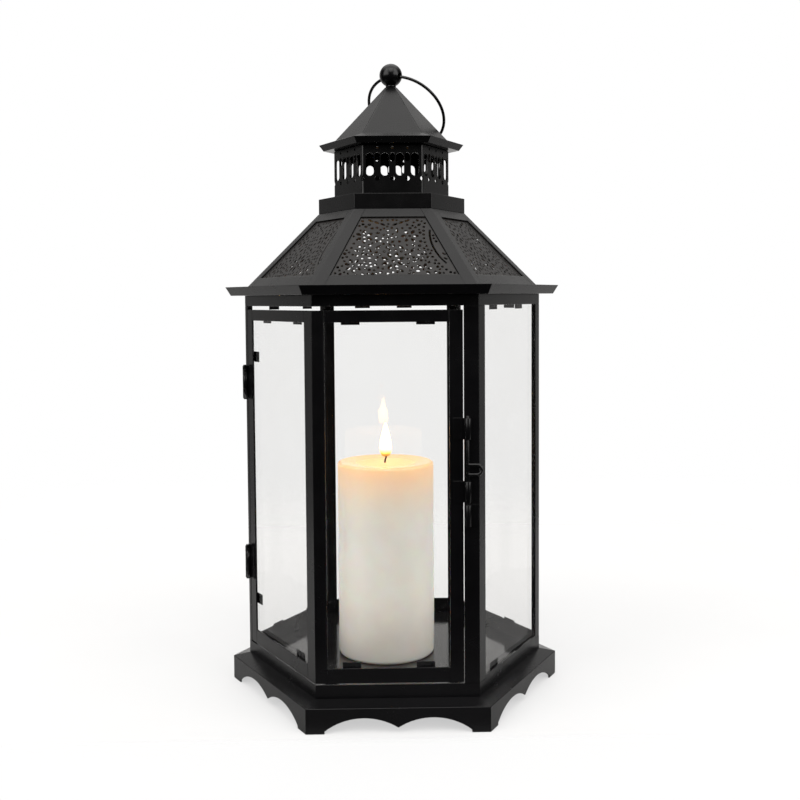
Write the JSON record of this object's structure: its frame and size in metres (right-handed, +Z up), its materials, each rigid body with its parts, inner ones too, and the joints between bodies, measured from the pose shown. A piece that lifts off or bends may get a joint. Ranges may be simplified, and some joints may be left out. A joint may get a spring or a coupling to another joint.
{
  "type": "metal lantern",
  "caption": "Hexagonal glazed metal candle lantern with a two-sided hinged door, wire slide latch, pierced roof and cupola, and a hanging ring on its ball finial.",
  "frame": {"origin": "centre of the foot plane, under the finial", "axes": "+Z up to the finial; -Y towards the viewer, out of the door's latch side; +X to the viewer's right, through a corner of the hexagon"},
  "size_m": [0.2604, 0.2256, 0.4805],
  "materials": {
    "black_metal": "satin",
    "roof_metal": "satin",
    "pierced_metal": "worn satin",
    "black_wire": "semi-gloss",
    "floor_gloss": "gloss",
    "plain_steel": "brushed",
    "glass": "clear",
    "wax": "waxy satin",
    "wick": "charred cotton"
  },
  "bodies": {
    "lantern": {"base_pan": "black_metal", "floor_plate": "floor_gloss", "sill_ring": "black_metal", "header_ring": "black_metal", "post_hinge": "black_metal", "post_back_left": "black_metal", "post_back_right": "black_metal", "post_right": "black_metal", "post_latch": "black_metal", "pane_back_left": "glass", "pane_back": "glass", "pane_back_right": "glass", "pane_right": "glass", "fixed_clips": "black_metal", "hinge_leaves_post": "black_metal", "hinge_pins": "black_wire", "latch_keeper": "black_metal", "eave_ring": "black_metal", "roof_lower_band": "roof_metal", "roof_upper_band": "roof_metal", "roof_hip_1": "roof_metal", "roof_hip_2": "roof_metal", "roof_hip_3": "roof_metal", "roof_hip_4": "roof_metal", "roof_hip_5": "roof_metal", "roof_hip_6": "roof_metal", "filigree_1": "pierced_metal", "filigree_2": "pierced_metal", "filigree_3": "pierced_metal", "filigree_4": "pierced_metal", "filigree_5": "pierced_metal", "filigree_6": "pierced_metal", "collar_ring": "roof_metal", "cupola_wall": "roof_metal", "cupola_roof": "roof_metal", "finial_neck": "black_metal", "finial_nut": "plain_steel", "finial_ball": "black_metal"},
    "door": {"door_hinge_stile": "black_metal", "door_corner_post": "black_metal", "door_latch_stile": "black_metal", "door_top_rail_left": "black_metal", "door_top_rail_front": "black_metal", "door_bottom_rail_left": "black_metal", "door_bottom_rail_front": "black_metal", "door_pane_left": "glass", "door_pane_front": "glass", "door_clips": "black_metal", "hinge_leaves_door": "black_metal", "latch_sleeves": "black_metal"},
    "latch_bolt": {"latch_bolt": "black_wire"},
    "bail": {"bail_ring": "black_wire"},
    "candle": {"candle_wax": "wax", "candle_wick": "wick"}
  },
  "joints": [
    {"name": "door_swing", "type": "hinge", "parent": "lantern", "child": "door", "pos_m": [-0.11489, -0.00479, 0.15], "axis": [0, 0, -1], "range_deg": [0, 180]},
    {"name": "bolt_slide", "type": "slide", "parent": "door", "child": "latch_bolt", "axis": [0, 0, 1], "range_m": [-0.0035, 0.014]},
    {"name": "bail_swing", "type": "hinge", "parent": "lantern", "child": "bail", "pos_m": [0, 0, 0.4707], "axis": [0.83, -0.5577, 0], "range_deg": [0, 273]},
    {"name": "candle_lift", "type": "slide", "parent": "lantern", "child": "candle", "axis": [0, 0, 1], "range_m": [0, 0.1]}
  ]
}
